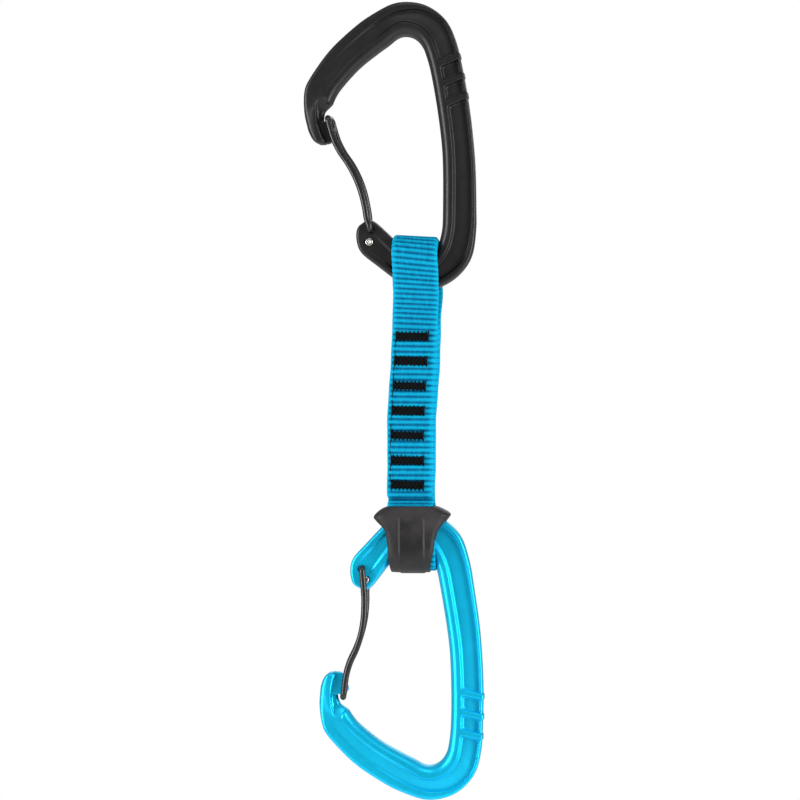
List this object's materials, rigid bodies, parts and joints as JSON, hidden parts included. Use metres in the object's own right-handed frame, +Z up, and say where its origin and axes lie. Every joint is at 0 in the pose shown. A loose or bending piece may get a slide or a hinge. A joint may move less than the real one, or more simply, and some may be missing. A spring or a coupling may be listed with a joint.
{
  "type": "climbing quickdraw",
  "caption": "Quickdraw: two wire-gate carabiners joined by a bar-tacked webbing sling, with a rubber keeper on the rope-end carabiner.",
  "frame": {"origin": "inner top of the upper carabiner's wide basket, where a bolt hanger bears", "axes": "+Z up along the hanging quickdraw; X across the carabiners, gates towards -X; Y through the webbing's thickness"},
  "size_m": [0.0631, 0.0172, 0.2788],
  "materials": {
    "black_anodised": "semi-gloss black anodised",
    "blue_anodised": "satin cyan-blue anodised",
    "gate_wire": "dark burnished spring steel",
    "webbing": "ribbed cyan-blue nylon",
    "thread": "black bonded thread",
    "rubber": "matte charcoal rubber"
  },
  "bodies": {
    "upper_carabiner": {"upper_carabiner_body": "black_anodised"},
    "upper_gate": {"upper_gate_wire": "gate_wire"},
    "upper_loop": {"webbing_upper_loop": "webbing"},
    "sling_upper": {"webbing_stitched_upper": "webbing", "bar_tack_1": "thread", "bar_tack_2": "thread", "bar_tack_3": "thread", "bar_tack_4": "thread"},
    "sling_lower": {"webbing_stitched_lower": "webbing", "bar_tack_5": "thread", "bar_tack_6": "thread", "bar_tack_7": "thread"},
    "lower_carabiner": {"webbing_lower_loop": "webbing", "rubber_keeper": "rubber", "lower_carabiner_body": "blue_anodised"},
    "lower_gate": {"lower_gate_wire": "gate_wire"}
  },
  "joints": [
    {"name": "upper_gate_hinge", "type": "hinge", "parent": "upper_carabiner", "child": "upper_gate", "pos_m": [-0.01211, 0, -0.06979], "axis": [0, 1, 0], "range_deg": [0, 28], "stiffness_Nm_per_rad": 0.25, "springref_deg": -34.38},
    {"name": "sling_swing", "type": "hinge", "parent": "upper_carabiner", "child": "upper_loop", "pos_m": [0.0038, 0, -0.0764], "axis": [1, 0, 0], "range_deg": [-15, 15]},
    {"name": "upper_flex", "type": "hinge", "parent": "upper_loop", "child": "sling_upper", "pos_m": [0.0038, 0, -0.1009], "axis": [1, 0, 0], "range_deg": [-60, 60], "stiffness_Nm_per_rad": 0.02},
    {"name": "sling_twist", "type": "hinge", "parent": "sling_upper", "child": "sling_lower", "pos_m": [0.00305, 0, -0.1356], "axis": [0, 0, 1], "range_deg": [-90, 90], "stiffness_Nm_per_rad": 0.01},
    {"name": "lower_flex", "type": "hinge", "parent": "sling_lower", "child": "lower_carabiner", "pos_m": [0.0025, 0.00075, -0.1629], "axis": [1, 0, 0], "range_deg": [-50, 50], "stiffness_Nm_per_rad": 0.02},
    {"name": "lower_gate_hinge", "type": "hinge", "parent": "lower_carabiner", "child": "lower_gate", "pos_m": [-0.01415, 0, -0.18782], "axis": [0, -1, 0], "range_deg": [0, 28], "stiffness_Nm_per_rad": 0.25, "springref_deg": -34.38}
  ]
}
